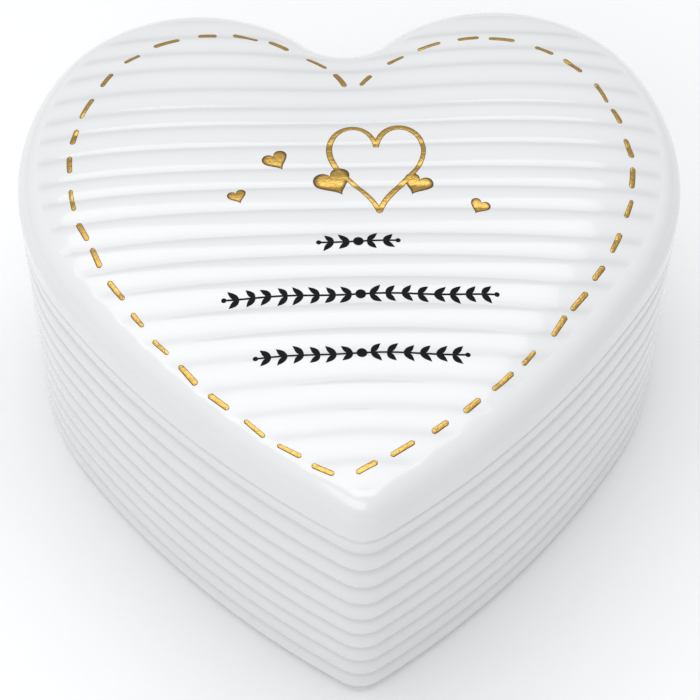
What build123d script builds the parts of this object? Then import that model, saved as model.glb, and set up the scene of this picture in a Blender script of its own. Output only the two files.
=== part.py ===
from build123d import *
import math
import os

# Heart-shaped trinket box: a ribbed porcelain base and a lift-off ribbed lid.
# The point of the heart faces -Y, the cleft faces +Y, and the foot stands on Z = 0.
# The origin is the middle of the footprint. Millimetres and degrees.

# ---- Overall sizes ----
heart_width = 110.0        # across the two lobes
heart_length = 105.4       # from the tops of the lobes to the tip
base_height = 46.2         # from the table to the rim that the lid rests on
lid_band_height = 9.6      # smooth band round the lid, from the rim to the crown
crown_rise = 3.3           # top of the crown above that band

# ---- Heart outline, a chain of tangent arcs ----
shoulder_offset = 10.0     # shoulder arc's centre from the middle plane
shoulder_angle = 28.0      # where the shoulder arc hands over to the lobe arc
side_radius = 158.0
tip_radius = 5.8
cleft_radius = 9.2

# ---- Base ----
wall = 4.0                 # from the bottom of a groove to the inside
floor_thickness = 4.0
rib_pitch = 4.65
rib_depth = 0.7
rim_band_height = 3.8      # rounded lip above the first groove
rim_set_back = 0.5         # how far the lip rounds in at its top
foot_band_minimum = 5.0    # plain band below the last groove
foot_edge_radius = 3.0
foot_ring_width = 6.0
foot_recess_depth = 1.2
cavity_corner_radius = 3.0
cavity_floor_radius = 3.0
skin_depth = 4.2           # thickness of the swept outer layer

# ---- Lid ----
lid_thickness = 4.5
lid_edge_radius = 3.5
lid_foot_radius = 0.6      # small rounding where the band meets the rim
lid_rib_depth = 0.35
crown_radius = 361.0       # the crown is a shallow dome both ways
locating_rim_thickness = 3.0
locating_rim_depth = 5.0
locating_rim_edge = 0.8
locating_clearance = 0.8   # all round, between the lid's rim and the base's wall

# ---- Fired-on decoration ----
film = 0.1                 # thickness of gold lustre and of black print
stitch_count = 44
stitch_length = 4.0
stitch_width = 0.8
stitch_side_inset = 8.55
stitch_end_inset = 7.7
stitch_side_radius = 99.0
stitch_corner_radius = 1.5  # at the point and between the lobes
stitch_centre = (-0.7, -2.1)
stitch_turn = -2.9         # the hand-set border sits a little turned on the lid
stitch_length_spread = 0.12  # share by which hand-drawn dashes differ in length
stitch_lean = 4.0          # degrees by which a dash may lean off the line
line_heart_width = 16.6
line_heart_length = 19.6
line_heart_stroke = 0.9
line_heart_offset = 1.2    # its shoulder arc's centre from its own middle line
line_heart_side_radius = 26.0
line_heart_tip_radius = 1.4
line_heart_cleft_radius = 0.5
line_heart_inner_tip_radius = 0.4
line_heart_centre = (4.2, 11.8)
loop_radius = 1.7
loop_height = 5.5          # its middle above the middle of the line heart
loop_stroke = 0.72
joined_hearts = [(-5.3, 10.4, 6.2, 35), (10.6, 8.9, 4.8, -38)]  # x, y, width and tilt of each
loose_hearts = [(-13.0, 15.2, 3.6, 30), (-19.2, 8.0, 2.8, 22), (21.2, 4.8, 2.8, -30)]
garlands = {"top": (0.6, -4.4, 2), "middle": (0.6, -14.8, 8), "bottom": (0.4, -25.8, 6)}  # x, y, pairs
stem_stroke = 0.34
leaf_length = 2.3
leaf_width = 0.95
leaf_pitch = 2.5
leaf_angle = 42.0
berry_radius = 0.42

# ---- Worked out from the above ----
cavity_inset = wall + rib_depth
locating_rim_inset = cavity_inset + locating_clearance
lid_cavity_inset = locating_rim_inset + locating_rim_thickness
crown_height = base_height + lid_band_height + crown_rise
cut_margin = 1.0           # how far a cutting solid runs past what it cuts


# ---- The heart outline ----

def polar(centre, radius, angle):
    """Point on a circle, with the angle in degrees."""
    turn = math.radians(angle)
    return (centre[0] + radius * math.cos(turn), centre[1] + radius * math.sin(turn))


def angle_between(start, end):
    """Direction in degrees from one point to another."""
    return math.degrees(math.atan2(end[1] - start[1], end[0] - start[0]))


def heart_wire(width, length, offset, side, tip, cleft, inset=0.0, corner=0.0):
    """Closed heart of tangent arcs, centred on its own box, moved inwards by inset.

    The right half runs tip, side, shoulder, lobe, cleft. corner is the least radius
    that the tip keeps when the inset has used up its own radius.
    """
    shoulder = width / 2 - offset
    lobe = width / 4
    lobe_from_shoulder = shoulder - lobe
    lobe_y = length / 2 - lobe
    lobe_x = offset + lobe_from_shoulder * math.cos(math.radians(shoulder_angle))
    shoulder_centre = (offset, lobe_y - lobe_from_shoulder * math.sin(math.radians(shoulder_angle)))
    tip_centre = (0.0, tip - length / 2)

    # The side arc runs round the shoulder circle and the tip circle and touches both.
    to_shoulder = side - shoulder
    to_tip = side - tip
    span = math.dist(shoulder_centre, tip_centre)
    along = (to_shoulder ** 2 - to_tip ** 2 + span ** 2) / (2 * span)
    across = math.sqrt(to_shoulder ** 2 - along ** 2)
    heading = angle_between(shoulder_centre, tip_centre)
    side_centre = polar(polar(shoulder_centre, along, heading), across, heading - 90)
    side_start = angle_between(side_centre, shoulder_centre)

    # The inset tip is a circle that touches both inset side arcs.
    tip_now = max(tip - inset, corner)
    reach = side - inset - tip_now
    tip_y = side_centre[1] - math.sqrt(reach ** 2 - side_centre[0] ** 2)
    side_end = angle_between(side_centre, (0.0, tip_y))

    lobe_end = math.degrees(math.acos(-lobe_x / (lobe + cleft)))
    lobe_centre = (lobe_x, lobe_y)
    cleft_centre = (0.0, polar(lobe_centre, lobe + cleft, lobe_end)[1])

    arcs = [
        CenterArc((0.0, tip_y), tip_now, -180 - side_end, 180 + 2 * side_end),
        CenterArc(cleft_centre, cleft + inset, lobe_end + 180, 180 - 2 * lobe_end),
    ]
    right_half = [
        (side_centre, side - inset, side_end, side_start),
        (shoulder_centre, shoulder - inset, side_start, shoulder_angle),
        (lobe_centre, lobe - inset, shoulder_angle, lobe_end),
    ]
    for centre, radius, start, end in right_half:
        arcs.append(CenterArc(centre, radius, start, end - start))
        arcs.append(CenterArc((-centre[0], centre[1]), radius, 180 - end, end - start))
    return Wire(arcs)


def box_heart(inset=0.0, corner=0.0):
    """The box's own outline, moved inwards by inset."""
    return heart_wire(heart_width, heart_length, shoulder_offset, side_radius,
                      tip_radius, cleft_radius, inset, corner)


def heart_prism(inset, low, high, corner=0.0):
    """Upright solid with the box's outline, from one height to another."""
    face = Face(box_heart(inset, corner))
    return extrude(Pos(0, 0, low) * face, amount=high - low, dir=(0, 0, 1))


def swept_skin(profile):
    """Carry a section, drawn with X outwards and Y up, round the box's outline."""
    path = box_heart()
    start = path.position_at(0)
    travel = path.tangent_at(0)
    outwards = travel.cross(Vector(0, 0, 1))
    if start.dot(outwards) < 0:
        outwards = -outwards
    section_plane = Plane(start, x_dir=outwards, z_dir=outwards.cross(Vector(0, 0, 1)))
    return sweep(section_plane * profile, path=path)


# ---- Base ----

def groove_heights():
    """Heights of the grooves round the base, from the top one down."""
    room = base_height - rim_band_height - foot_band_minimum
    count = int(room / rib_pitch) + 1
    top = base_height - rim_band_height
    return [top - k * rib_pitch for k in range(count)]


def base_section():
    """Section of the base's outer layer: foot, plain band, ribs and rounded lip."""
    grooves = groove_heights()
    lowest = grooves[-1]
    band_end = lowest - rib_pitch / 4
    foot_middle = foot_edge_radius * (1 - math.cos(math.radians(45)))
    lines = [
        Line((-skin_depth, 0), (-foot_edge_radius, 0)),
        ThreePointArc((-foot_edge_radius, 0), (-foot_middle, foot_middle), (0, foot_edge_radius)),
        Line((0, foot_edge_radius), (0, band_end)),
        ThreePointArc((0, band_end), (-rib_depth / 4, (band_end + lowest) / 2), (-rib_depth, lowest)),
    ]
    for upper, lower in zip(grooves[:-1], grooves[1:]):
        middle = (0, (upper + lower) / 2)
        lines.append(ThreePointArc((-rib_depth, lower), middle, (-rib_depth, upper)))
    lip_middle = (0, base_height - rim_band_height / 2)
    lip_top = (-rim_set_back, base_height)
    lines.append(ThreePointArc((-rib_depth, grooves[0]), lip_middle, lip_top))
    lines.append(Line(lip_top, (-skin_depth, base_height)))
    lines.append(Line((-skin_depth, base_height), (-skin_depth, 0)))
    return make_face(lines)


def make_base():
    """Hollow base with ribbed walls, a rounded lip and a ring to stand on."""
    core_inset = skin_depth - rib_depth / 2
    core = heart_prism(core_inset, 0, base_height, cavity_corner_radius)
    cavity = heart_prism(cavity_inset, foot_recess_depth + floor_thickness,
                         base_height + cut_margin, cavity_corner_radius)
    cavity = fillet(cavity.edges().group_by(Axis.Z)[0], cavity_floor_radius)
    recess_inset = foot_edge_radius + foot_ring_width
    recess = heart_prism(recess_inset, -cut_margin, foot_recess_depth, cavity_corner_radius)
    return swept_skin(base_section()) + core - cavity - recess


# ---- Lid ----

def dome_solid(drop, ribbed):
    """Everything under a shallow dome, drop below the crown, with or without ribs."""
    top = crown_height - drop
    reach = heart_length / 2 + cut_margin
    steps = 2 * math.ceil(reach / rib_pitch) + 1
    first = -steps * rib_pitch / 2

    def height(y):
        return top - crown_radius + math.sqrt(crown_radius ** 2 - y ** 2)

    if ribbed:
        lines = []
        for k in range(steps):
            near = first + k * rib_pitch
            far = near + rib_pitch
            middle = (near + far) / 2
            lines.append(ThreePointArc((near, height(near) - lid_rib_depth), (middle, height(middle)),
                                       (far, height(far) - lid_rib_depth)))
    else:
        lines = [ThreePointArc((first, height(first)), (0, top), (-first, height(first)))]
    low = base_height - locating_rim_depth - cut_margin
    left_top = lines[0] @ 0
    right_top = lines[-1] @ 1
    lines += [
        Line((right_top.X, right_top.Y), (right_top.X, low)),
        Line((right_top.X, low), (left_top.X, low)),
        Line((left_top.X, low), (left_top.X, left_top.Y)),
    ]
    least_radius = height(first) - (top - crown_radius)
    half_angle = math.degrees(math.asin((heart_width / 2 + cut_margin) / least_radius))
    side = Plane.YZ * make_face(lines)
    axis = Axis((0, 0, top - crown_radius), (0, 1, 0))
    return revolve(side.rotate(axis, -half_angle), axis, 2 * half_angle)


def lid_section():
    """Section of the smooth band round the lid."""
    band_top = base_height + lid_band_height
    foot_middle = lid_foot_radius * (1 - math.cos(math.radians(45)))
    edge_middle = lid_edge_radius * (1 - math.cos(math.radians(45)))
    edge_start = band_top - lid_edge_radius
    lines = [
        Line((-skin_depth, base_height), (-lid_foot_radius, base_height)),
        ThreePointArc((-lid_foot_radius, base_height), (-foot_middle, base_height + foot_middle),
                      (0, base_height + lid_foot_radius)),
        Line((0, base_height + lid_foot_radius), (0, edge_start)),
        ThreePointArc((0, edge_start), (-edge_middle, band_top - edge_middle),
                      (-lid_edge_radius, band_top)),
        Line((-lid_edge_radius, band_top), (-skin_depth, band_top)),
        Line((-skin_depth, band_top), (-skin_depth, base_height)),
    ]
    return make_face(lines)


def make_lid():
    """Hollow lid: a smooth band, a ribbed crown and a locating rim underneath."""
    band_top = base_height + lid_band_height
    core_inset = skin_depth - rib_depth / 2
    core = heart_prism(core_inset, base_height, band_top, cavity_corner_radius)
    crown = heart_prism(core_inset, base_height, crown_height + cut_margin, cavity_corner_radius)
    crown = crown & dome_solid(0, ribbed=True)
    rim = heart_prism(locating_rim_inset, base_height - locating_rim_depth,
                      base_height + cut_margin, cavity_corner_radius)
    rim = fillet(rim.edges().group_by(Axis.Z)[0], locating_rim_edge)
    hollow = heart_prism(lid_cavity_inset, base_height - locating_rim_depth - cut_margin,
                         crown_height, cavity_corner_radius)
    hollow = hollow & dome_solid(lid_thickness, ribbed=False)
    return swept_skin(lid_section()) + core + crown + rim - hollow


# ---- Fired-on decoration ----

def under_top(lift):
    """Everything under the lid's top, raised by lift: the ribbed crown and the flat it rises from."""
    band_top = base_height + lid_band_height + lift
    low = base_height
    flat = Pos(0, 0, (low + band_top) / 2) * Box(heart_width, heart_length, band_top - low)
    return dome_solid(-lift, ribbed=True) + flat


def on_crown(shape, bare, coated):
    """Turn a flat drawing into a thin film between the bare top and the coated one."""
    low = base_height + lid_band_height / 2
    block = extrude(Pos(0, 0, low) * shape, amount=crown_height - low + cut_margin, dir=(0, 0, 1))
    return (block & coated) - bare


def stitches():
    """Dashes along a heart inside the lid's edge, a little uneven as if drawn by hand."""
    width = heart_width - 2 * stitch_side_inset
    length = heart_length - 2 * stitch_end_inset
    seam = heart_wire(width, length, shoulder_offset, stitch_side_radius,
                      stitch_corner_radius, stitch_corner_radius)
    seam = Pos(*stitch_centre) * Rot(0, 0, stitch_turn) * seam
    dashes = []
    for k in range(stitch_count):
        place = (k + 0.5) / stitch_count
        point = seam.position_at(place)
        travel = seam.tangent_at(place)
        length_now = stitch_length * (1 + stitch_length_spread * math.sin(2.3 * k))
        turn = math.degrees(math.atan2(travel.Y, travel.X)) + stitch_lean * math.sin(3.7 * k)
        dashes.append(Pos(point.X, point.Y) * Rot(0, 0, turn) * SlotOverall(length_now, stitch_width))
    return dashes


def plain_heart(width, tilt=0.0):
    """Small filled heart: two lobes and the two lines that touch them."""
    lobe = 0.27 * width
    centre = width / 2 - lobe
    tip = (0.0, -0.72 * width)
    notch = (0, 0.16 * width)
    span = math.dist((centre, 0), tip)
    touch = angle_between((centre, 0), tip) + math.degrees(math.acos(lobe / span))
    right = polar((centre, 0), lobe, touch)
    body = make_face(Polyline(tip, right, (centre, 0), notch, (-centre, 0),
                              (-right[0], right[1]), tip, close=False))
    lobes = Pos(centre, 0) * Circle(lobe) + Pos(-centre, 0) * Circle(lobe)
    return Rot(0, 0, tilt) * (body + lobes)


def hearts_at(places):
    """Filled hearts, each from its x, y, width and tilt."""
    return Sketch() + [Pos(x, y) * plain_heart(width, tilt) for x, y, width, tilt in places]


def heart_motif():
    """Outlined heart with a loop in its cleft and a small filled heart on each side."""
    def outline(inset):
        return Face(heart_wire(line_heart_width, line_heart_length, line_heart_offset,
                               line_heart_side_radius, line_heart_tip_radius,
                               line_heart_cleft_radius, inset, line_heart_inner_tip_radius))

    ring = outline(0) - outline(line_heart_stroke)
    loop = Circle(loop_radius) - Circle(loop_radius - loop_stroke)
    drawing = Pos(*line_heart_centre) * (ring + Pos(0, loop_height) * loop)
    return drawing + hearts_at(joined_hearts)


def leaf(tilt):
    """Pointed leaf that starts at the origin and leans by tilt."""
    bulge = leaf_width / 2
    upper = ThreePointArc((0, 0), (leaf_length / 2, bulge), (leaf_length, 0))
    lower = ThreePointArc((leaf_length, 0), (leaf_length / 2, -bulge), (0, 0))
    return Rot(0, 0, tilt) * make_face([upper, lower])


def garland(centre_x, centre_y, pairs):
    """Stem with pairs of leaves on both sides, mirrored about a berry in its middle."""
    length = (pairs + 0.5) * leaf_pitch
    shape = Rectangle(2 * length, stem_stroke) + Circle(2 * berry_radius)
    for side in (1, -1):
        shape += Pos(side * length, 0) * Circle(berry_radius)
        for k in range(pairs):
            foot = side * (k + 0.55) * leaf_pitch
            for lean in (leaf_angle, -leaf_angle):
                tilt = lean if side > 0 else 180 - lean
                shape += Pos(foot, 0) * leaf(tilt)
    return Pos(centre_x, centre_y) * shape


# ---- Build every piece ----

bare_top = under_top(0)
coated_top = under_top(film)
drawings = {
    "gold_stitch_border": Sketch() + stitches(),
    "gold_heart_motif": heart_motif(),
    "gold_scattered_hearts": hearts_at(loose_hearts),
}
for row, (centre_x, centre_y, pairs) in garlands.items():
    drawings["black_garland_" + row] = garland(centre_x, centre_y, pairs)

pieces = {"base": make_base(), "lid": make_lid()}
for name, drawing in drawings.items():
    pieces[name] = on_crown(drawing, bare_top, coated_top)

os.makedirs("parts", exist_ok=True)
for name, piece in pieces.items():
    export_step(piece, "parts/" + name + ".step")
    print(name, "solids", len(piece.solids()), "volume", round(piece.volume, 2))
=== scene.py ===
import math

import bpy
import numpy as np
from bpy.props import FloatProperty, FloatVectorProperty, PointerProperty
from mathutils import Matrix, Vector


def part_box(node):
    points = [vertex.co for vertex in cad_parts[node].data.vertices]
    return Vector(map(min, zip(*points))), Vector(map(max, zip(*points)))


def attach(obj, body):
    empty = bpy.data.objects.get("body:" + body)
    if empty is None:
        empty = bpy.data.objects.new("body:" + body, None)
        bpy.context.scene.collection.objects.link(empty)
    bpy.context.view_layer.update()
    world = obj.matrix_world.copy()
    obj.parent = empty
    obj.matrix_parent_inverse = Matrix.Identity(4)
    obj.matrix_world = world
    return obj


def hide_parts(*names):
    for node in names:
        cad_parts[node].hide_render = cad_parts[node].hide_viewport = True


bl_info = {
    "name": "Heart Trinket Box",
    "version": (1, 0, 0),
    "blender": (4, 5, 0),
    "location": "View3D > Sidebar > Heart Box",
    "description": "Ribbed porcelain heart box with gold lustre and black print, built round its CAD frame",
    "category": "Object",
}

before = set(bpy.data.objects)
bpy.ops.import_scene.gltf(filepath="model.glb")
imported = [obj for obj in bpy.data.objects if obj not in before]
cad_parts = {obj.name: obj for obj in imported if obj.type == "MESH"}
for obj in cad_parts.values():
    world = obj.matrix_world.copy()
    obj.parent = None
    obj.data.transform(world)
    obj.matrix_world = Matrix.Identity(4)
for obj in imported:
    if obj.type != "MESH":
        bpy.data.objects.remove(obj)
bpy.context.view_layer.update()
BASE_LOW, BASE_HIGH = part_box("base")
LID_LOW, LID_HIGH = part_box("lid")
RIM = BASE_HIGH.z          # where the lid rests on the base
MM = 0.001


# ---- Settings that a user would change ----

def length(name, description, millimetres):
    """A length property whose default is given in millimetres."""
    return FloatProperty(name=name, description=description, default=millimetres * MM,
                         precision=5, unit="LENGTH", subtype="DISTANCE")


def colour(name, description, red, green, blue):
    """A linear colour property."""
    return FloatVectorProperty(name=name, description=description, default=(red, green, blue),
                               min=0, max=1, subtype="COLOR")


class OutlineSettings(bpy.types.PropertyGroup):
    shoulder_offset: length("Shoulder offset", "Shoulder arc's centre from the middle plane", 10)
    side_radius: length("Side radius", "Radius of the long side arcs", 158)
    tip_radius: length("Tip radius", "Rounding of the heart's point", 5.8)
    cleft_radius: length("Cleft radius", "Rounding between the two lobes", 9.2)
    shoulder_angle: FloatProperty(name="Shoulder angle", description="Where the shoulder becomes the lobe",
                                  default=math.radians(28), subtype="ANGLE", unit="ROTATION")


class BaseSettings(bpy.types.PropertyGroup):
    rib_pitch: length("Rib pitch", "Mean height of one rib", 4.64)
    rib_depth: length("Rib depth", "Depth of the grooves between ribs", 0.44)
    groove_width: length("Groove width", "Width of the narrow valley in a groove", 0.5)
    crowding: length("Crowding", "How far the middle grooves stand below an even pitch", 0.9)
    rim_band: length("Rim band", "Rounded lip above the first groove", 3.9)
    lip_radius: length("Lip radius", "Rounding of the lip's top edge", 0.9)
    inner_radius: length("Inner radius", "Rounding of the well's top edge", 0.6)
    foot_radius: length("Foot radius", "Rounding where the wall meets the table", 2.6)
    foot_ring: length("Foot ring", "Width of the ring that the box stands on", 6)
    recess: length("Recess", "Height of the hollow under the floor", 1.2)
    wall: length("Wall", "From the outline to the inside", 4.7)
    floor: length("Floor", "Thickness of the floor", 4)
    floor_radius: length("Floor radius", "Rounding between the floor and the inside wall", 3)


class LidSettings(bpy.types.PropertyGroup):
    upright: length("Upright band", "Upright part of the lid's edge", 3.6)
    edge_radius: length("Edge radius", "Rounding over the lid's edge", 5.2)
    foot_radius: length("Foot radius", "Small rounding where the band meets the rim", 0.55)
    rib_pitch: length("Rib pitch", "Distance between the grooves on top", 4.65)
    rib_depth: length("Rib depth", "Depth of the grooves on top", 0.17)
    groove_width: length("Groove width", "Width of the narrow valley in a groove", 0.6)
    crown_inset: length("Crown inset", "Where the rings round the edge give way to the crown", 5.6)
    thickness: length("Thickness", "Thickness of the lid's top", 4.5)
    rim_inset: length("Rim inset", "Locating rim from the outline", 5.5)
    rim_width: length("Rim width", "Thickness of the locating rim", 3)
    rim_depth: length("Rim depth", "How far the locating rim drops into the base", 5)


class FilmSettings(bpy.types.PropertyGroup):
    thickness: length("Thickness", "Thickness of the fired films", 0.09)
    dash_length: length("Dash length", "Mean length of one dash of the border", 4.0)
    dash_width: length("Dash width", "Mean width of one dash of the border", 0.8)
    seam_inset: length("Border inset", "Border from the outline at the sides", 9.0)
    seam_end_inset: length("Border end inset", "Border from the outline at its point and lobes", 7.7)
    seam_side_radius: length("Border side radius", "Side arcs of the border's heart", 99)
    seam_corner: length("Border corner", "Rounding of the border's heart at its point and cleft", 1.5)
    seam_turn: FloatProperty(name="Border turn", description="The hand-set border sits a little turned",
                             default=math.radians(-2.9), subtype="ANGLE", unit="ROTATION")
    stroke: length("Stroke", "Mean width of the drawn heart's line", 0.88)
    line_heart: length("Line heart", "Width of the heart drawn as a line", 15.4)
    line_stretch: FloatProperty(name="Line heart stretch", default=1.35,
                                description="How much longer the line heart is than the plain heart")
    stem_width: length("Stem width", "Width of the garlands' stems", 0.34)
    berry: length("Berry", "Radius of the dot in a garland's middle; its end dots are half as large", 0.84)
    leaf_length: length("Leaf length", "Length of one leaf of the garlands", 2.3)
    leaf_width: length("Leaf width", "Width of one leaf of the garlands", 0.95)
    leaf_pitch: length("Leaf pitch", "Distance between two pairs of leaves", 2.5)


class ColourSettings(bpy.types.PropertyGroup):
    glaze: colour("Glaze", "White glazed porcelain", 0.81, 0.812, 0.82)
    # painted shade: a grey mixed into the glaze colour inside the grooves
    painted_groove_shade: colour("Painted groove shade", "Painted shade in the grooves", 0.62, 0.625, 0.64)
    bisque: colour("Bisque", "Unglazed foot ring and rim", 0.78, 0.75, 0.70)
    gold: colour("Gold", "Fired gold lustre", 0.70, 0.45, 0.115)
    gold_edge: colour("Gold edge", "Thin brown edge of the lustre", 0.13, 0.075, 0.02)
    print_black: colour("Print", "Fired black print", 0.004, 0.004, 0.005)
    floor: colour("Floor", "Pale studio floor", 0.94, 0.94, 0.94)


SETTINGS = {
    "heart_outline": OutlineSettings,
    "heart_base": BaseSettings,
    "heart_lid": LidSettings,
    "heart_films": FilmSettings,
    "heart_colours": ColourSettings,
}


# ---- Heart outline and surfaces ----

def polar(centre, radius, angle):
    """Point on a circle."""
    return (centre[0] + radius * math.cos(angle), centre[1] + radius * math.sin(angle))


def bearing(start, end):
    """Direction from one point to another."""
    return math.atan2(end[1] - start[1], end[0] - start[0])


def turned(points, angle):
    """Flat points turned about the origin, anticlockwise."""
    cosine, sine = math.cos(angle), math.sin(angle)
    return points @ np.array([[cosine, sine], [-sine, cosine]])


def smooth_step(low, high, value):
    """0 below low, 1 above high, smooth between."""
    share = np.clip((value - low) / (high - low), 0, 1)
    return share * share * (3 - 2 * share)


class HeartOutline:
    """Heart of tangent arcs. Every ring of it has the same number of points, whatever its inset."""

    def __init__(self, width, length, side, tip, cleft):
        settings = bpy.context.scene.heart_outline
        offset = settings.shoulder_offset
        self.tip, self.cleft, self.side = tip, cleft, side
        self.shoulder, self.lobe = width / 2 - offset, width / 4
        self.turn = settings.shoulder_angle
        step = self.shoulder - self.lobe
        lobe_y = length / 2 - self.lobe
        self.lobe_centre = (offset + step * math.cos(self.turn), lobe_y)
        self.shoulder_centre = (offset, lobe_y - step * math.sin(self.turn))
        tip_centre = (0.0, self.tip - length / 2)
        to_shoulder, to_tip = side - self.shoulder, side - self.tip
        span = math.dist(self.shoulder_centre, tip_centre)
        along = (to_shoulder ** 2 - to_tip ** 2 + span ** 2) / (2 * span)
        across = math.sqrt(to_shoulder ** 2 - along ** 2)
        heading = bearing(self.shoulder_centre, tip_centre)
        foot = polar(self.shoulder_centre, along, heading)
        self.side_centre = polar(foot, across, heading - math.pi / 2)
        self.lobe_end = math.acos(-self.lobe_centre[0] / (self.lobe + self.cleft))
        self.cleft_centre = (0.0, polar(self.lobe_centre, self.lobe + self.cleft, self.lobe_end)[1])

    def arcs(self, inset=0.0, corner=0.0):
        """Right half as (centre, radius, start, end), from the point of the heart to its cleft."""
        tip = max(self.tip - inset, corner)
        reach = self.side - inset - tip
        tip_y = self.side_centre[1] - math.sqrt(reach ** 2 - self.side_centre[0] ** 2)
        side_end = bearing(self.side_centre, (0.0, tip_y))
        side_start = bearing(self.side_centre, self.shoulder_centre)
        return [
            ((0.0, tip_y), tip, -math.pi / 2, side_end),
            (self.side_centre, self.side - inset, side_end, side_start),
            (self.shoulder_centre, self.shoulder - inset, side_start, self.turn),
            (self.lobe_centre, self.lobe - inset, self.turn, self.lobe_end),
            (self.cleft_centre, self.cleft + inset, self.lobe_end + math.pi, 1.5 * math.pi),
        ]

    def ring(self, inset, corner, spacing):
        """Closed ring of points, anticlockwise from the point of the heart."""
        half = []
        for outer, arc in zip(self.arcs(), self.arcs(inset, corner)):
            count = max(6, math.ceil(outer[1] * abs(outer[3] - outer[2]) / spacing))
            centre, radius, start, end = arc
            half += [polar(centre, radius, start + (end - start) * k / count) for k in range(count)]
        half.append(polar(centre, radius, end))
        left = [(-x, y) for x, y in half[-2:0:-1]]
        return np.array(half + left)

    def edge_distance(self, points):
        """How far inside the outline each point is."""
        best = np.full(len(points), np.inf)
        for centre, radius, start, end in self.arcs():
            dx, dy = np.abs(points[:, 0]) - centre[0], points[:, 1] - centre[1]
            low, high = min(start, end), max(start, end)
            within = (np.arctan2(dy, dx) - low) % (2 * math.pi) <= high - low
            gap = np.abs(np.hypot(dx, dy) - radius)
            best = np.where(within, np.minimum(best, gap), best)
        return best

    def soft_distance(self, points):
        """Like edge_distance, but without a crease in the middle: a mean that favours what is near."""
        power = 7
        outline = self.ring(0.0, 0.0, 0.45 * MM)
        steps = np.hypot(*(np.roll(outline, -1, axis=0) - np.roll(outline, 1, axis=0)).T) / 2
        scale = math.sqrt(math.pi) * math.gamma(power / 2) / math.gamma((power + 1) / 2)
        found = []
        for start in range(0, len(points), 4000):
            block = points[start:start + 4000]
            squared = ((block[:, None, :] - outline[None, :, :]) ** 2).sum(axis=2) + 1e-12
            found.append((squared ** (-(power + 1) / 2) * steps).sum(axis=1))
        return (np.concatenate(found) / scale) ** (-1 / power)


def groove_shape(gap, pitch, arched, valley_width):
    """Depth from 0 to 1 at a distance from a groove's middle: a broad arch and a narrow soft valley."""
    soft = np.hypot(gap, valley_width / 2) - valley_width / 2
    arch = np.clip(1 - 2 * soft / pitch, 0, 1) ** 2
    valley = np.exp(-(gap / valley_width) ** 2)
    return arched * arch + (1 - arched) * valley


class LidSurface:
    """Height of the lid's top: an upright band, a rounded edge, a soft pillow and shallow ribs."""

    def __init__(self, lid, outline):
        self.lid = lid
        self.outline = outline
        self.slope = 0.34                       # of the pillow where it leaves the rounded edge
        self.arch = 0.5                         # share of a broad arch in the grooves
        turn = math.atan(1 / self.slope)
        self.join = lid.edge_radius * (1 - math.cos(turn))
        self.join_height = RIM + lid.upright + lid.edge_radius * math.sin(turn)
        self.rise = LID_HIGH.z - self.join_height
        reach = LID_HIGH.y
        count = 2 * math.ceil(reach / lid.rib_pitch) + 2
        k = np.arange(count) - (count - 1) / 2
        drift = 0.24 * np.sin(1.9 * k) + 0.12 * np.sin(4.3 * k + 1)
        self.grooves = lid.rib_pitch * k + drift * MM

    def plain(self, edge, points):
        """Height without ribs, from the distance to the edge."""
        soft = self.outline.soft_distance(points)
        inside = edge + (soft - edge) * smooth_step(1.0 * MM, 6.0 * MM, edge)
        radius = self.lid.edge_radius
        round_over = np.clip(inside, 0, self.join)
        low = RIM + self.lid.upright + np.sqrt(np.maximum(radius ** 2 - (radius - round_over) ** 2, 0))
        fade = np.exp(-np.maximum(inside - self.join, 0) * self.slope / self.rise)
        return np.where(inside < self.join, low, LID_HIGH.z - self.rise * fade)

    def grooving(self, edge, points):
        """Groove depth from 0 to 1, fading out before the rounded edge."""
        x, y = points[:, 0], points[:, 1]
        y = y + 0.14 * MM * np.sin(x / (17 * MM) + y / (9 * MM))
        after = np.clip(np.searchsorted(self.grooves, y), 1, len(self.grooves) - 1)
        low, high = self.grooves[after - 1], self.grooves[after]
        gap = np.minimum(y - low, high - y)
        shape = groove_shape(gap, high - low, self.arch, self.lid.groove_width)
        return shape * smooth_step(1.8 * MM, 5.2 * MM, edge)

    def height(self, points, edge=None):
        """Height of the ribbed top at each point."""
        if edge is None:
            edge = self.outline.edge_distance(points)
        return self.plain(edge, points) - self.lid.rib_depth * self.grooving(edge, points)


# ---- Meshes ----

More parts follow.
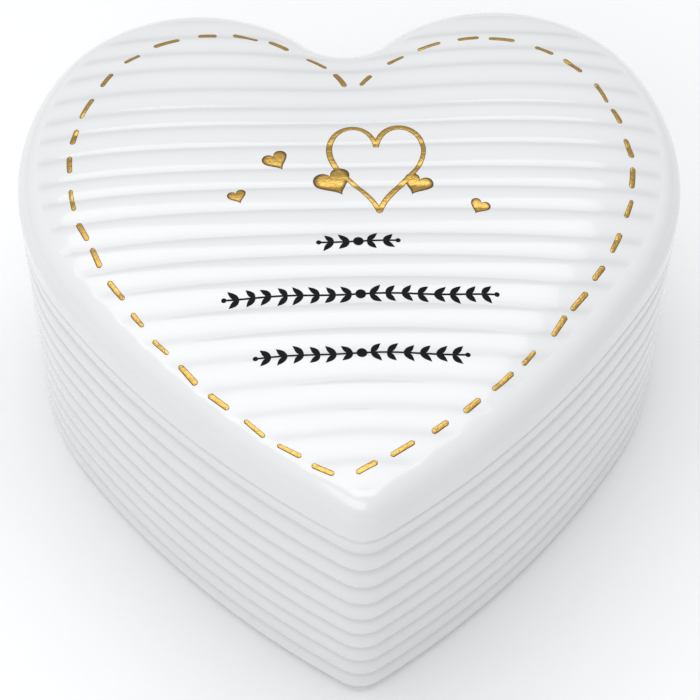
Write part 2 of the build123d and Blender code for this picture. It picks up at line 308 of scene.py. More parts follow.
class MeshParts:
    """Closed shells gathered into one mesh, with one or more values on every vertex."""

    def __init__(self, *value_names):
        self.points, self.faces, self.count = [], [], 0
        self.values = {name: [] for name in value_names}

    def loft(self, loops, ring=False, **values):
        """Join closed loops of equal length, then close both ends, or join them to each other."""
        loops = np.asarray(loops, float)
        rows, columns = loops.shape[:2]
        index = self.count + np.arange(rows * columns).reshape(rows, columns)
        if ring:
            index = np.vstack([index, index[:1]])
        near, far = index[:-1], index[1:]
        quads = np.stack([near, np.roll(near, -1, 1), np.roll(far, -1, 1), far], axis=2)
        self.faces += quads.reshape(-1, 4).tolist()
        points = loops.reshape(-1, 3)
        if not ring:
            points = np.vstack([points, loops[0].mean(0), loops[-1].mean(0)])
            start, end = self.count + rows * columns, self.count + rows * columns + 1
            first, last = index[0], index[-1]
            self.faces += np.stack([np.roll(first, -1), first, np.full(columns, start)], 1).tolist()
            self.faces += np.stack([last, np.roll(last, -1), np.full(columns, end)], 1).tolist()
        self.points.append(points)
        self.count += len(points)
        for name, stored in self.values.items():
            value = np.broadcast_to(values[name], (rows, columns)).reshape(-1)
            if not ring:
                value = np.append(value, [value[0], value[-1]])
            stored.append(value)

    def build(self, name, material, slot, body, *nodes):
        """Make the piece, give it its finish and let it ride in place of its CAD nodes."""
        mesh = bpy.data.meshes.new(name)
        mesh.from_pydata(np.vstack(self.points).tolist(), [], self.faces)
        mesh.validate()
        for value_name, stored in self.values.items():
            layer = mesh.attributes.new(value_name, "FLOAT", "POINT")
            layer.data.foreach_set("value", np.concatenate(stored).astype(np.float32))
        mesh.shade_smooth()
        mesh.materials.append(material)
        piece = bpy.data.objects.new(name, mesh)
        bpy.context.scene.collection.objects.link(piece)
        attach(piece, body)
        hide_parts(*nodes)
        return piece


STAR_CENTRE = np.array([0.0, 5.0 * MM])     # every ring of the heart can be seen whole from here


def shrunk(ring, share):
    """Ring drawn in towards the heart's middle."""
    return STAR_CENTRE + (ring - STAR_CENTRE) * share


def with_height(ring, height):
    """Ring lifted to one height, or to a height for each of its points."""
    return np.column_stack([ring, np.broadcast_to(height, len(ring))])


def quarter(start, end, flat_first, steps=6):
    """Section points of a quarter round from start to end, both (inset, height)."""
    (a, b), (c, d) = start, end
    points = []
    for k in range(steps + 1):
        turn = math.pi / 2 * k / steps
        across, up = 1 - math.cos(turn), math.sin(turn)
        if flat_first:
            across, up = math.sin(turn), 1 - math.cos(turn)
        points.append((a + (c - a) * across, b + (d - b) * up))
    return points


# ---- Shader building ----

class Value:
    """A shader socket that takes part in Python sums: each operator adds one Math node."""

    def __init__(self, finish, socket):
        self.finish = finish
        self.socket = socket

    def sum(self, operation, first, second):
        """Result of one Math node."""
        return self.finish.node("ShaderNodeMath", {"operation": operation}, {0: first, 1: second})

    def __add__(self, other):
        return self.sum("ADD", self, other)

    def __radd__(self, other):
        return self.sum("ADD", other, self)

    def __sub__(self, other):
        return self.sum("SUBTRACT", self, other)

    def __rsub__(self, other):
        return self.sum("SUBTRACT", other, self)

    def __mul__(self, other):
        return self.sum("MULTIPLY", self, other)

    def __rmul__(self, other):
        return self.sum("MULTIPLY", other, self)


class Finish:
    """One material and the nodes it is made of."""

    def __init__(self, name):
        self.material = bpy.data.materials.new(name)
        self.material.use_nodes = True
        self.tree = self.material.node_tree
        self.tree.nodes.clear()

    def node(self, kind, settings=None, inputs=None, output=0):
        """Add a node: its settings first, then the values or links of its sockets."""
        node = self.tree.nodes.new(kind)
        for name, setting in (settings or {}).items():
            setattr(node, name, setting)
        for name, given in (inputs or {}).items():
            if isinstance(given, Value):
                self.tree.links.new(given.socket, node.inputs[name])
            else:
                node.inputs[name].default_value = given
        return Value(self, node.outputs[output])

    def place(self, stretch=(1, 1, 1)):
        """Position on the piece in metres, stretched along each axis."""
        where = self.node("ShaderNodeTexCoord", output="Object")
        return self.node("ShaderNodeVectorMath", {"operation": "MULTIPLY"}, {0: where, 1: stretch})

    def noise(self, scale, detail=2.0, stretch=(1, 1, 1), roughness=0.5):
        """Noise from 0 to 1 with a scale in bumps per metre."""
        inputs = {"Vector": self.place(stretch), "Scale": scale, "Detail": detail, "Roughness": roughness}
        return self.node("ShaderNodeTexNoise", {}, inputs, "Fac")

    def band(self, value, low, high):
        """Value turned into 0 below low and 1 above high."""
        inputs = {"Value": value, "From Min": low, "From Max": high}
        return self.node("ShaderNodeMapRange", {"interpolation_type": "SMOOTHSTEP"}, inputs, "Result")

    def stored(self, name):
        """A value kept on the mesh."""
        return self.node("ShaderNodeAttribute", {"attribute_name": name}, output="Fac")

    def mix(self, share, first, second):
        """Blend of two colours."""
        first = first if isinstance(first, Value) else (*first, 1)
        second = second if isinstance(second, Value) else (*second, 1)
        return self.node("ShaderNodeMix", {"data_type": "RGBA"}, {0: share, 6: first, 7: second}, 2)

    def bump(self, height, depth):
        """Surface direction from a height, with the depth of a full step in metres."""
        return self.node("ShaderNodeBump", {}, {"Height": height, "Distance": depth, "Strength": 1.0})

    def surface(self, **inputs):
        """Finish the material with one principled shader."""
        named = {name.replace("_", " "): given for name, given in inputs.items()}
        shader = self.node("ShaderNodeBsdfPrincipled", {}, named)
        output = self.tree.nodes.new("ShaderNodeOutputMaterial")
        self.tree.links.new(shader.socket, output.inputs["Surface"])
        return self.material


def porcelain(name, colours):
    """Glossy white glaze with faint waves, painted shade in the grooves and pinholes, and dry bisque where
    it was wiped off.
    """
    finish = Finish(name)
    bare = 1 - finish.stored("glaze")
    # painted shade: the groove depth kept on the mesh darkens the glaze colour in the grooves
    painted_groove_shade = finish.stored("groove")
    clouds = finish.noise(60, 3)
    cells = finish.node("ShaderNodeTexVoronoi", {}, {"Vector": finish.place(), "Scale": 95.0}, "Distance")
    lone = finish.band(finish.noise(38, 1), 0.64, 0.68)
    pinhole = (1 - finish.band(cells, 0.015, 0.03)) * lone
    # painted shade: the glaze colour turns grey in the grooves, where shade falls
    white = finish.mix(clouds * 0.16 + painted_groove_shade * 0.55, colours.glaze, colours.painted_groove_shade)
    white = finish.mix(pinhole * 0.6, white, (0.45, 0.43, 0.4))
    grit = finish.noise(2600, 3)
    dry = finish.mix(grit * 0.5, colours.bisque, (0.66, 0.62, 0.56))
    waves = finish.noise(210, 2, (0.35, 1, 1)) * 0.5 + finish.noise(900, 2) * 0.12
    height = waves * (1 - bare) + grit * bare * 0.25 - pinhole * 0.4
    return finish.surface(
        Base_Color=finish.mix(bare, white, dry),
        Roughness=0.13 + clouds * 0.08 + pinhole * 0.2 + bare * 0.6,
        Coat_Weight=0.55 - bare * 0.55,
        Coat_Roughness=0.04,
        IOR=1.5,
        Normal=finish.bump(height, 0.06 * MM),
    )


def gold_lustre(name, colours):
    """Thin bright gold, brushed and slightly crackled, with a brown edge where it thins out."""
    finish = Finish(name)
    edge = finish.stored("edge")
    brushed = finish.noise(700, 3, (0.35, 2.4, 1))
    grain = finish.noise(3200, 2)
    cells = finish.node("ShaderNodeTexVoronoi", {"feature": "DISTANCE_TO_EDGE"},
                        {"Vector": finish.place(), "Scale": 900.0}, "Distance")
    crackle = 1 - finish.band(cells, 0.02, 0.12)
    thin = finish.band(edge + grain * 0.2 - 0.1, 0.64, 0.96)
    worn = finish.band(finish.noise(260, 2), 0.6, 0.8)
    gold = finish.mix(brushed * 0.7 + worn * 0.3, colours.gold, (0.36, 0.205, 0.05))
    return finish.surface(
        Base_Color=finish.mix(thin, gold, colours.gold_edge),
        Metallic=1 - thin * 0.35,
        Roughness=0.2 + grain * 0.16 + crackle * 0.1 + thin * 0.12,
        Normal=finish.bump(brushed * 0.7 + grain * 0.3 - crackle * 0.25, 0.055 * MM),
    )


def black_print(name, colours):
    """Screened ceramic ink fired into the glaze: near black, with a slightly starved edge."""
    finish = Finish(name)
    edge = finish.stored("edge")
    mottle = finish.noise(1500, 3)
    starved = finish.band(edge + mottle * 0.3, 0.95, 1.25)
    return finish.surface(
        Base_Color=finish.mix(starved * 0.7, colours.print_black, (0.05, 0.05, 0.055)),
        Roughness=0.5 + mottle * 0.16,
        Specular_IOR_Level=0.12,
        Normal=finish.bump(mottle, 0.012 * MM),
    )


def floor_paint(name, colours):
    """Matt pale studio sweep with a very fine grain."""
    finish = Finish(name)
    grain = finish.noise(500, 3)
    broad = finish.noise(4, 2)
    soft_grey = tuple(0.96 * part for part in colours.floor)
    return finish.surface(
        Base_Color=finish.mix(broad * 0.5 + grain * 0.3, colours.floor, soft_grey),
        Roughness=0.62 + grain * 0.1,
        Normal=finish.bump(grain, 0.02 * MM),
    )


def material(make, name):
    """The named finish, made once."""
    return bpy.data.materials.get(name) or make(name, bpy.context.scene.heart_colours)


# ---- The two porcelain pieces ----

def box_outline():
    """The box's own outline, as wide and long as its base."""
    size = BASE_HIGH - BASE_LOW
    settings = bpy.context.scene.heart_outline
    return HeartOutline(size.x, size.y, settings.side_radius, settings.tip_radius, settings.cleft_radius)


RING_SPACING = 0.6 * MM
LEAST_CORNER = 3.0 * MM     # least radius inside the point of the heart
RING_EDGE = 0.5 * MM        # rounding of the foot ring's inner edge
RING_SLOPE = 0.3 * MM       # lean of the recess's wall at its top
CAP_SHARES = (0.06, 0.25, 0.45, 0.65, 0.82, 0.93)      # rings of a flat floor, from its middle out
RIM_ROUNDING = 0.8 * MM     # both edges of the lid's locating rim
LAND_GAP = 0.03 * MM        # between the lid and the rim of the base
CROWN_RINGS = 150           # enough that each rib of the crown stays smooth
BASE_ARCH = 0.4             # share of a broad arch in the wall's grooves


def base_rows(sizes):
    """Section rows of the base from the well to the underside: inset, height, groove and glaze."""
    well = sizes.recess + sizes.floor
    corner = sizes.floor_radius
    floor_corner = quarter((sizes.wall + corner, well), (sizes.wall, well + corner), True, 8)
    rows = [(x, y, 0, 1) for x, y in floor_corner]
    inner_lip = RIM - sizes.inner_radius
    inner_edge = sizes.wall - sizes.inner_radius
    rows += [(sizes.wall, z, 0, 1) for z in np.linspace(well + corner, inner_lip, 14)[1:]]
    rows += [(x, y, 0, 1) for x, y in quarter((sizes.wall, inner_lip), (inner_edge, RIM), False, 4)[1:]]
    rows += [(x, RIM, 0, 0) for x in np.linspace(sizes.wall - 0.9 * MM, sizes.lip_radius + 0.5 * MM, 4)]
    lip_foot = RIM - sizes.lip_radius
    rows += [(x, y, 0, 1) for x, y in quarter((sizes.lip_radius, RIM), (0, lip_foot), True, 7)]

    count = 1 + round((lip_foot - 2 * sizes.foot_radius - sizes.rim_band) / sizes.rib_pitch)
    k = np.arange(count)
    crowding = sizes.crowding * np.sin(math.pi * k / (count - 1))
    grooves = RIM - sizes.rim_band - sizes.rib_pitch * k - crowding
    tops = np.append(RIM + 0.2 * MM, (grooves[:-1] + grooves[1:]) / 2)
    ends = np.append((grooves[:-1] + grooves[1:]) / 2, grooves[-1] - sizes.rib_pitch / 2)
    fine = np.sin(np.linspace(-math.pi / 2, math.pi / 2, 8)) * 0.5 + 0.5
    for groove, top, end in zip(grooves, tops, ends):
        above = top - (top - groove) * fine ** 0.7
        below = groove - (groove - end) * (1 - fine[::-1] ** 0.7)
        for z in np.append(above, below[1:-1]):
            if z < lip_foot - 0.2 * MM:
                pitch = 2 * max(top - groove, groove - end)
                depth = groove_shape(abs(z - groove), pitch, BASE_ARCH, sizes.groove_width)
                rows.append((sizes.rib_depth * float(depth), z, float(depth), 1))
    rows += [(0, z, 0, 1) for z in np.linspace(ends[-1], sizes.foot_radius, 4)]
    foot = sizes.foot_radius
    inner = foot + sizes.foot_ring
    rows += [(x, y, 0, 1) for x, y in quarter((0, foot), (foot, 0), False, 8)[1:-1]]
    rows += [(x, 0, 0, 0) for x in np.linspace(foot, inner - RING_EDGE, 5)]
    rows += [(inner, RING_EDGE, 0, 0), (inner + RING_SLOPE, sizes.recess - RING_SLOPE, 0, 1),
             (inner + RING_EDGE + RING_SLOPE, sizes.recess, 0, 1)]
    return rows


def hand_wave(columns, row):
    """Slow unevenness round a ring, from -1 to 1, a little different for each row."""
    turn = np.linspace(0, 2 * math.pi, columns, endpoint=False)
    return 0.6 * np.sin(3 * turn + row) + 0.4 * np.sin(7 * turn - 1.7 * row)


class HEARTBOX_OT_base(bpy.types.Operator):
    """Build the ribbed porcelain base with its well, lip and foot ring"""
    bl_idname = "heartbox.base"
    bl_label = "Base"

    def execute(self, context):
        sizes = context.scene.heart_base
        outline = box_outline()
        loops, grooves, glaze = [], [], []
        rows = base_rows(sizes)
        for share in CAP_SHARES:
            ring = shrunk(outline.ring(rows[0][0], LEAST_CORNER, RING_SPACING), share)
            loops.append(with_height(ring, rows[0][1]))
            grooves.append(0)
            glaze.append(1)
        for inset, height, groove, glazed in rows:
            columns = len(loops[0])
            sway = 0.16 * MM * hand_wave(columns, height / (5 * MM)) if groove > 0 else 0.0
            ring = outline.ring(inset, LEAST_CORNER, RING_SPACING)
            loops.append(with_height(ring, height + sway))
            grooves.append(groove)
            glaze.append(glazed)
        for share in CAP_SHARES[::-1]:
            ring = shrunk(outline.ring(rows[-1][0], LEAST_CORNER, RING_SPACING), share)
            loops.append(with_height(ring, rows[-1][1]))
            grooves.append(0)
            glaze.append(1)
        parts = MeshParts("groove", "glaze")
        parts.loft(loops, groove=np.array(grooves, float)[:, None], glaze=np.array(glaze, float)[:, None])
        parts.build("porcelain_base", material(porcelain, "white_glaze"), "porcelain", "base", "base")
        return {"FINISHED"}


class HEARTBOX_OT_lid(bpy.types.Operator):
    """Build the pillow-shaped ribbed lid with its locating rim"""
    bl_idname = "heartbox.lid"
    bl_label = "Lid"

    def execute(self, context):
        sizes = context.scene.heart_lid
        outline = box_outline()
        surface = LidSurface(sizes, outline)
        land = RIM + LAND_GAP
        drop = RIM - sizes.rim_depth
        hollow = sizes.rim_inset + sizes.rim_width
        loops, grooves, glaze = [], [], []

        def add(ring, height, groove=0.0, glazed=1.0):
            loops.append(with_height(ring, height))
            grooves.append(np.broadcast_to(groove, len(ring)))
            glaze.append(np.full(len(ring), glazed))

        def ring_at(inset):
            return outline.ring(inset, LEAST_CORNER, RING_SPACING)

        def ceiling(ring):
            return surface.plain(outline.edge_distance(ring), ring) - sizes.thickness

        inner = ring_at(hollow + 2.5 * MM)
        for share in (*CAP_SHARES, 1.0):
            ring = shrunk(inner, share)
            add(ring, ceiling(ring))
        corner = ring_at(hollow + 0.7 * MM)
        add(corner, ceiling(corner) - 0.25 * MM)
        under = float(ceiling(ring_at(hollow)).min())
        for height in np.linspace(under - 1.5 * RIM_ROUNDING, drop + RIM_ROUNDING, 6):
            add(ring_at(hollow), height)
        edge_top = drop + RIM_ROUNDING
        for inset, height in quarter((hollow, edge_top), (hollow - RIM_ROUNDING, drop), False, 4)[1:]:
            add(ring_at(inset), height)
        for inset in (hollow - 1.5 * RIM_ROUNDING, sizes.rim_inset + 1.5 * RIM_ROUNDING):
            add(ring_at(inset), drop, glazed=0)
        outer = sizes.rim_inset
        for inset, height in quarter((outer + RIM_ROUNDING, drop), (outer, edge_top), True, 4):
            add(ring_at(inset), height)
        for height in np.linspace(drop + 1.5 * RIM_ROUNDING, land - 0.5 * RIM_ROUNDING, 5):
            add(ring_at(sizes.rim_inset), height)
        margin = 0.5 * RIM_ROUNDING
        for inset in np.linspace(sizes.rim_inset - margin, sizes.foot_radius + margin, 4):
            add(ring_at(inset), land, glazed=0)
        foot = quarter((sizes.foot_radius, land), (0, land + sizes.foot_radius), True, 5)
        for inset, height in foot:
            add(ring_at(inset), height)
        for height in np.linspace(land + sizes.foot_radius, RIM + sizes.upright, 7)[1:]:
            add(ring_at(0), height)
        for turn in np.linspace(0, 1, 15)[1:]:
            inset = surface.join * (1 - math.cos(turn * math.pi / 2)) ** 0.9
            ring = ring_at(inset)
            edge = outline.edge_distance(ring)
            add(ring, surface.height(ring, edge))
        for inset in np.linspace(surface.join, sizes.crown_inset, 10)[1:]:
            ring = ring_at(inset)
            edge = outline.edge_distance(ring)
            add(ring, surface.height(ring, edge), surface.grooving(edge, ring))
        last = ring_at(sizes.crown_inset)
        for share in np.linspace(1, 0, CROWN_RINGS)[1:-1]:
            ring = shrunk(last, share)
            edge = outline.edge_distance(ring)
            add(ring, surface.height(ring, edge), surface.grooving(edge, ring))
        parts = MeshParts("groove", "glaze")
        parts.loft(loops, groove=np.array(grooves), glaze=np.array(glaze))
        parts.build("porcelain_lid", material(porcelain, "white_glaze"), "porcelain", "lid", "lid")
        return {"FINISHED"}


# ---- Fired-on films ----

SINK = 0.03 * MM            # how far a film's underside lies in the glaze


def dome(share):
    """Film height from its edge (1) to its middle (0), as a share of its thickness."""
    return 0.4 + 0.6 * np.sqrt(np.clip(1 - share ** 2, 0, 1))


def ribbon(parts, surface, line, widths, thickness):
    """Closed strip of film along a line, with rounded ends."""
    travel = np.gradient(line, axis=0)
    travel /= np.linalg.norm(travel, axis=1)[:, None]
    sideways = np.column_stack([-travel[:, 1], travel[:, 0]])
    across = np.array([-1, -0.86, -0.6, -0.2, 0.2, 0.6, 0.86, 1])
    spread = line[:, None, :] + sideways[:, None, :] * across[None, :, None] * widths[:, None, None] / 2
    flat = spread.reshape(-1, 2)
    ground = surface.height(flat).reshape(len(line), -1)
    top = np.dstack([spread, ground + thickness * dome(across)])
    under = np.dstack([spread, ground - SINK])[:, ::-1]
    edge = np.abs(np.append(across, across[::-1]))
    ends = np.ones(len(line))
    ends[1:-1] = 0
    parts.loft(np.concatenate([under, top], axis=1)[:, ::-1], edge=np.maximum(edge[None, :], ends[:, None]))


def patch(parts, surface, outline, centre, thickness):
    """Closed piece of film inside an outline."""
    shares = (1.0, 0.93, 0.8, 0.6, 0.4, 0.2)
    loops = [centre + (outline - centre) * share for share in (0.5, 1.0)]
    heights = [surface.height(loop) - SINK for loop in loops]
    edges = [1.0, 1.0]
    for share in shares:
        loop = centre + (outline - centre) * share
        loops.append(loop)
        heights.append(surface.height(loop) + thickness * float(dome(share)))
        edges.append(share)
    lifted = [with_height(loop, height) for loop, height in zip(loops, heights)]
    parts.loft(lifted, edge=np.array(edges)[:, None])


def rounded_widths(count, width, spacing):
    """Widths along a stroke that ends in half circles."""
    along = np.minimum(np.arange(count), np.arange(count)[::-1]) * spacing
    share = np.clip(along / (width / 2), 0.02, 1)
    return width * np.sqrt(1 - (1 - share) ** 2)


def smooth_line(points, spacing):
    """Smooth line through given points, sampled evenly."""
    points = np.array(points, float)
    padded = np.vstack([2 * points[0] - points[1], points, 2 * points[-1] - points[-2]])
    found = []
    for a, b, c, d in zip(padded, padded[1:], padded[2:], padded[3:]):
        for t in np.linspace(0, 1, 24, endpoint=False):
            found.append(0.5 * (2 * b + (c - a) * t + (2 * a - 5 * b + 4 * c - d) * t ** 2
                                + (3 * b - a - 3 * c + d) * t ** 3))
    found = np.array(found + [points[-1]])
    travelled = np.append(0, np.cumsum(np.linalg.norm(np.diff(found, axis=0), axis=1)))
    even = np.linspace(0, travelled[-1], max(8, round(travelled[-1] / spacing)))
    return np.column_stack([np.interp(even, travelled, found[:, axis]) for axis in (0, 1)])


def little_heart(centre, width, tilt, count=72):
    """Outline of a plain heart."""
    t = np.linspace(0, 2 * math.pi, count, endpoint=False)
    x = -16 * np.sin(t) ** 3
    y = 13 * np.cos(t) - 5 * np.cos(2 * t) - 2 * np.cos(3 * t) - np.cos(4 * t)
    shape = np.column_stack([x, y]) * width / 32
    return np.array(centre) + turned(shape, math.radians(tilt))


def film_surface(context):
    """The lid's top, which every film follows."""
    return LidSurface(context.scene.heart_lid, box_outline())


DASH_COUNT = 44


class HEARTBOX_OT_border(bpy.types.Operator):
    """Draw the gold dashes that follow the heart inside the lid's edge"""
    bl_idname = "heartbox.border"
    bl_label = "Dashed border"

    def execute(self, context):
        films = context.scene.heart_films
        surface = film_surface(context)
        low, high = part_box("gold_stitch_border")
        size = BASE_HIGH - BASE_LOW
        seam = HeartOutline(size.x - 2 * films.seam_inset, size.y - 2 * films.seam_end_inset,
                            films.seam_side_radius, films.seam_corner, films.seam_corner)
        ring = turned(seam.ring(0.0, 0.0, 0.2 * MM), films.seam_turn)
        ring += np.array((low + high).xy / 2) - (ring.min(0) + ring.max(0)) / 2
        closed = np.vstack([ring, ring[:1]])
        travelled = np.append(0, np.cumsum(np.linalg.norm(np.diff(closed, axis=0), axis=1)))
        draw = np.random.default_rng(14)
        pitch = travelled[-1] / DASH_COUNT
        parts = MeshParts("edge")
        for k in range(DASH_COUNT):
            middle = (k + 0.5) * pitch + draw.uniform(-0.7, 0.7) * MM
            reach = films.dash_length * draw.uniform(0.76, 1.2)
            along = np.linspace(middle - reach / 2, middle + reach / 2, 26) % travelled[-1]
            line = np.column_stack([np.interp(along, travelled, closed[:, axis]) for axis in (0, 1)])
            middle_point = line.mean(0)
            line = middle_point + turned(line - middle_point, math.radians(draw.uniform(-6, 6)))
            width = films.dash_width * draw.uniform(0.85, 1.15)
            widths = rounded_widths(len(line), width, reach / (len(line) - 1))
            widths *= 1 + draw.uniform(-0.12, 0.12) * np.linspace(-1, 1, len(line))
            ribbon(parts, surface, line, widths, films.thickness)
        parts.build("gold_dashes", material(gold_lustre, "fired_gold"), "gold_lustre", "lid",
                    "gold_stitch_border")
        return {"FINISHED"}


LINE_HEART_MIDDLE = (4.2, 10.7)                                       # in millimetres
JOINED_HEARTS = ((-3.0, 8.2, 6.2, 25), (10.6, 7.4, 4.8, -25))         # x, y, width in millimetres, tilt
LOOSE_HEARTS = ((-12.2, 13.1, 4.3, 28), (-18.5, 5.6, 3.1, 20), (20.3, 2.7, 3.3, -28))
LINE_SPACING = 0.22 * MM


def filled_hearts(parts, surface, hearts, thickness):
    """Add small filled hearts, each given as x, y, width and tilt."""
    for x, y, width, tilt in hearts:
        centre = np.array([x * MM, y * MM])
        patch(parts, surface, little_heart(centre, width * MM, tilt), centre, thickness)


class HEARTBOX_OT_motif(bpy.types.Operator):
    """Draw the plain gold line heart with a filled heart on each side"""
    bl_idname = "heartbox.motif"
    bl_label = "Line heart"

    def execute(self, context):
        films = context.scene.heart_films
        surface = film_surface(context)
        plain = little_heart((0, 0), films.line_heart, 0, count=48)
        plain = np.roll(plain - (plain.min(0) + plain.max(0)) / 2, 24, axis=0) * (1, films.line_stretch)
        middle = np.array(LINE_HEART_MIDDLE) * MM
        line = smooth_line(middle + np.vstack([plain, plain[:1]]), LINE_SPACING)
        swell = 1 + 0.13 * np.sin(np.arange(len(line)) * LINE_SPACING / (3.1 * MM))
        widths = rounded_widths(len(line), films.stroke, LINE_SPACING) * swell
        parts = MeshParts("edge")
        ribbon(parts, surface, line, widths, films.thickness)
        filled_hearts(parts, surface, JOINED_HEARTS, films.thickness * 1.15)
        parts.build("gold_line_heart", material(gold_lustre, "fired_gold"), "gold_lustre", "lid",
                    "gold_heart_motif")
        return {"FINISHED"}


class HEARTBOX_OT_loose_hearts(bpy.types.Operator):
    """Draw the three loose gold hearts beside the line heart"""
    bl_idname = "heartbox.loose_hearts"
    bl_label = "Loose hearts"

    def execute(self, context):
        films = context.scene.heart_films
        surface = film_surface(context)
        parts = MeshParts("edge")
        filled_hearts(parts, surface, LOOSE_HEARTS, films.thickness)
        parts.build("gold_loose_hearts", material(gold_lustre, "fired_gold"), "gold_lustre", "lid",
                    "gold_scattered_hearts")
        return {"FINISHED"}


def leaf_outline(foot, size, tilt, bend):
    """Pointed leaf that starts at its foot and leans by tilt, its spine bent a little."""
    t = np.linspace(0, 1, 17)
    half = size[1] / 2 * np.sin(math.pi * t ** 0.8)
    spine = bend * size[0] * t * (1 - t)
    upper = np.column_stack([t * size[0], spine + half])
    lower = np.column_stack([t * size[0], spine - half])[-2:0:-1]
    return foot + turned(np.vstack([upper, lower])[::-1], math.radians(tilt))


def berry(centre, radius, count=28):
    """Round outline."""
    t = np.linspace(0, 2 * math.pi, count, endpoint=False)
    return centre + radius * np.column_stack([np.cos(t), np.sin(t)])


STEM_SPACING = 0.25 * MM
STEM_WAVE = 2.6 * MM        # the stem sways once in 2 pi times this length
GARLAND_MARGIN = 0.4 * MM   # from the end dot's middle to the end of the row


class HEARTBOX_OT_garlands(bpy.types.Operator):
    """Print the three black rows of leaves"""
    bl_idname = "heartbox.garlands"
    bl_label = "Leaf garlands"

    def execute(self, context):
        films = context.scene.heart_films
        surface = film_surface(context)
        draw = np.random.default_rng(5)
        for row in ("top", "middle", "bottom"):
            node = "black_garland_" + row
            low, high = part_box(node)
            centre = np.array([(low.x + high.x) / 2, (low.y + high.y) / 2])
            half = (high.x - low.x) / 2 - GARLAND_MARGIN
            pairs = int(half / films.leaf_pitch)
            sway = films.leaf_width * 0.12
            x = np.arange(-half, half, STEM_SPACING)
            stem = centre + np.column_stack([x, sway * np.sin(x / STEM_WAVE)])
            parts = MeshParts("edge")
            widths = rounded_widths(len(stem), films.stem_width, STEM_SPACING)
            ribbon(parts, surface, stem, widths, films.thickness * 0.6)
            for side in (1, -1):
                tip = centre + np.array([side * half, sway * math.sin(side * half / STEM_WAVE)])
                patch(parts, surface, berry(tip, films.berry / 2), tip, films.thickness)
                for k in range(pairs):
                    foot_x = side * (k + 0.55) * films.leaf_pitch
                    foot = centre + np.array([foot_x, sway * math.sin(foot_x / STEM_WAVE)])
                    for lean in (42, -42):
                        lean = lean + draw.uniform(-6, 6)
                        tilt = lean if side > 0 else 180 - lean
                        size = (films.leaf_length * draw.uniform(0.9, 1.06), films.leaf_width)
                        outline = leaf_outline(foot, size, tilt, draw.uniform(-0.25, 0.25))
                        patch(parts, surface, outline, outline.mean(0), films.thickness)
            patch(parts, surface, berry(centre, films.berry), centre, films.thickness * 1.1)
            parts.build("leaf_garland_" + row, material(black_print, "fired_black"), "black_print",
                        "lid", node)
        return {"FINISHED"}


# ---- Stage ----

def area_light(name, location, target, size, power):
    """Rectangular soft light that faces a point."""
    data = bpy.data.lights.new(name, "AREA")
    data.shape = "RECTANGLE"
    data.size, data.size_y = size
    data.energy = power
    lamp = bpy.data.objects.new(name, data)
    lamp.location = location
    lamp.rotation_euler = (Vector(target) - Vector(location)).to_track_quat("-Z", "Y").to_euler()
    bpy.context.scene.collection.objects.link(lamp)
    return lamp


FLOOR_REACH = 3.0           # metres each way
FLOOR_GAP = 0.05 * MM
ROOM_COLOUR = (0.97, 0.985, 1.0, 1)
ROOM_STRENGTH = 0.56
LENS = 118.84               # with a sensor 36 mm wide
SENSOR = 36.0
CAMERA_AZIMUTH, CAMERA_ELEVATION, CAMERA_ROLL = (math.radians(turn) for turn in (-2.63, 53.0, -0.918))
CAMERA_DISTANCE = 367.48 * MM
CAMERA_TARGET = Vector((-1.003 * MM, -16.45 * MM, RIM - 0.02 * MM))


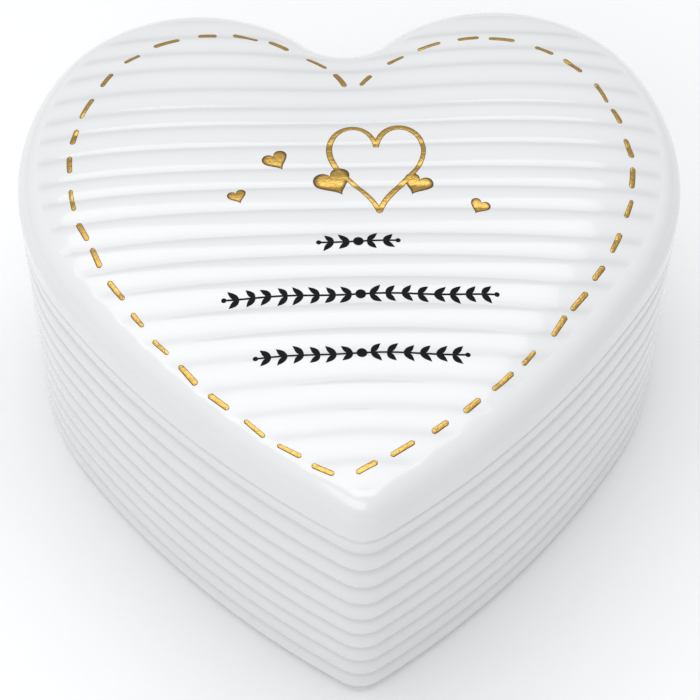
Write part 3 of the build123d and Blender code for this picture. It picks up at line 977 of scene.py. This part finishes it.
class HEARTBOX_OT_stage(bpy.types.Operator):
    """Add the pale floor, the soft studio light and the camera"""
    bl_idname = "heartbox.stage"
    bl_label = "Stage"

    def execute(self, context):
        self.floor()
        self.light()
        self.camera()
        return {"FINISHED"}

    def floor(self):
        mesh = bpy.data.meshes.new("studio_floor")
        signs = ((-1, -1), (1, -1), (1, 1), (-1, 1))
        corners = [(x * FLOOR_REACH, y * FLOOR_REACH, 0) for x, y in signs]
        mesh.from_pydata(corners, [], [(0, 1, 2, 3)])
        mesh.materials.append(material(floor_paint, "pale_floor"))
        sheet = bpy.data.objects.new("studio_floor", mesh)
        sheet.location.z = BASE_LOW.z - FLOOR_GAP
        bpy.context.scene.collection.objects.link(sheet)

    def light(self):
        world = bpy.data.worlds.new("soft_room")
        world.use_nodes = True
        background = world.node_tree.nodes["Background"]
        background.inputs["Color"].default_value = ROOM_COLOUR
        background.inputs["Strength"].default_value = ROOM_STRENGTH
        bpy.context.scene.world = world
        top = (0, 0, LID_HIGH.z)
        overhead = area_light("overhead", location=(-0.1, 0.28, 1.16), target=top,
                              size=(1.3, 1.04), power=7.7)
        overhead.rotation_euler = (0, 0, 0)
        area_light("fill_front", location=(-0.45, -0.95, 0.95), target=top,
                   size=(1.2, 0.7), power=4.2)

    def camera(self):
        data = bpy.data.cameras.new("camera")
        data.sensor_width = SENSOR
        data.lens = LENS
        data.clip_start = 0.01
        data.clip_end = 20.0
        camera = bpy.data.objects.new("camera", data)
        flat = math.cos(CAMERA_ELEVATION)
        back = Vector((math.sin(CAMERA_AZIMUTH) * flat, -math.cos(CAMERA_AZIMUTH) * flat,
                       math.sin(CAMERA_ELEVATION)))
        right = Vector((math.cos(CAMERA_AZIMUTH), math.sin(CAMERA_AZIMUTH), 0))
        up = back.cross(right)
        turned_right = math.cos(CAMERA_ROLL) * right - math.sin(CAMERA_ROLL) * up
        turned_up = math.sin(CAMERA_ROLL) * right + math.cos(CAMERA_ROLL) * up
        facing = Matrix((turned_right, turned_up, back)).transposed().to_4x4()
        camera.matrix_world = Matrix.Translation(CAMERA_TARGET + CAMERA_DISTANCE * back) @ facing
        bpy.context.scene.collection.objects.link(camera)
        bpy.context.scene.camera = camera
        bpy.context.scene.view_settings.view_transform = "Standard"


OPERATORS = (
    HEARTBOX_OT_base,
    HEARTBOX_OT_lid,
    HEARTBOX_OT_border,
    HEARTBOX_OT_motif,
    HEARTBOX_OT_loose_hearts,
    HEARTBOX_OT_garlands,
    HEARTBOX_OT_stage,
)


class HEARTBOX_PT_panel(bpy.types.Panel):
    """Buttons and sizes of the heart box"""
    bl_idname = "HEARTBOX_PT_panel"
    bl_label = "Heart Box"
    bl_space_type = "VIEW_3D"
    bl_region_type = "UI"
    bl_category = "Heart Box"

    def draw(self, context):
        for operator in OPERATORS:
            self.layout.operator(operator.bl_idname)
        for name, group in SETTINGS.items():
            box = self.layout.box()
            box.label(text=name.replace("_", " "))
            for setting in group.__annotations__:
                box.prop(getattr(context.scene, name), setting)


def register():
    for group in SETTINGS.values():
        bpy.utils.register_class(group)
    for name, group in SETTINGS.items():
        setattr(bpy.types.Scene, name, PointerProperty(type=group))
    for operator in OPERATORS:
        bpy.utils.register_class(operator)
    bpy.utils.register_class(HEARTBOX_PT_panel)


def unregister():
    bpy.utils.unregister_class(HEARTBOX_PT_panel)
    for operator in reversed(OPERATORS):
        bpy.utils.unregister_class(operator)
    for name, group in reversed(SETTINGS.items()):
        delattr(bpy.types.Scene, name)
        bpy.utils.unregister_class(group)


def main():
    register()
    bpy.ops.heartbox.base()
    bpy.ops.heartbox.lid()
    bpy.ops.heartbox.border()
    bpy.ops.heartbox.motif()
    bpy.ops.heartbox.loose_hearts()
    bpy.ops.heartbox.garlands()
    bpy.ops.heartbox.stage()


if __name__ == "__main__":
    main()
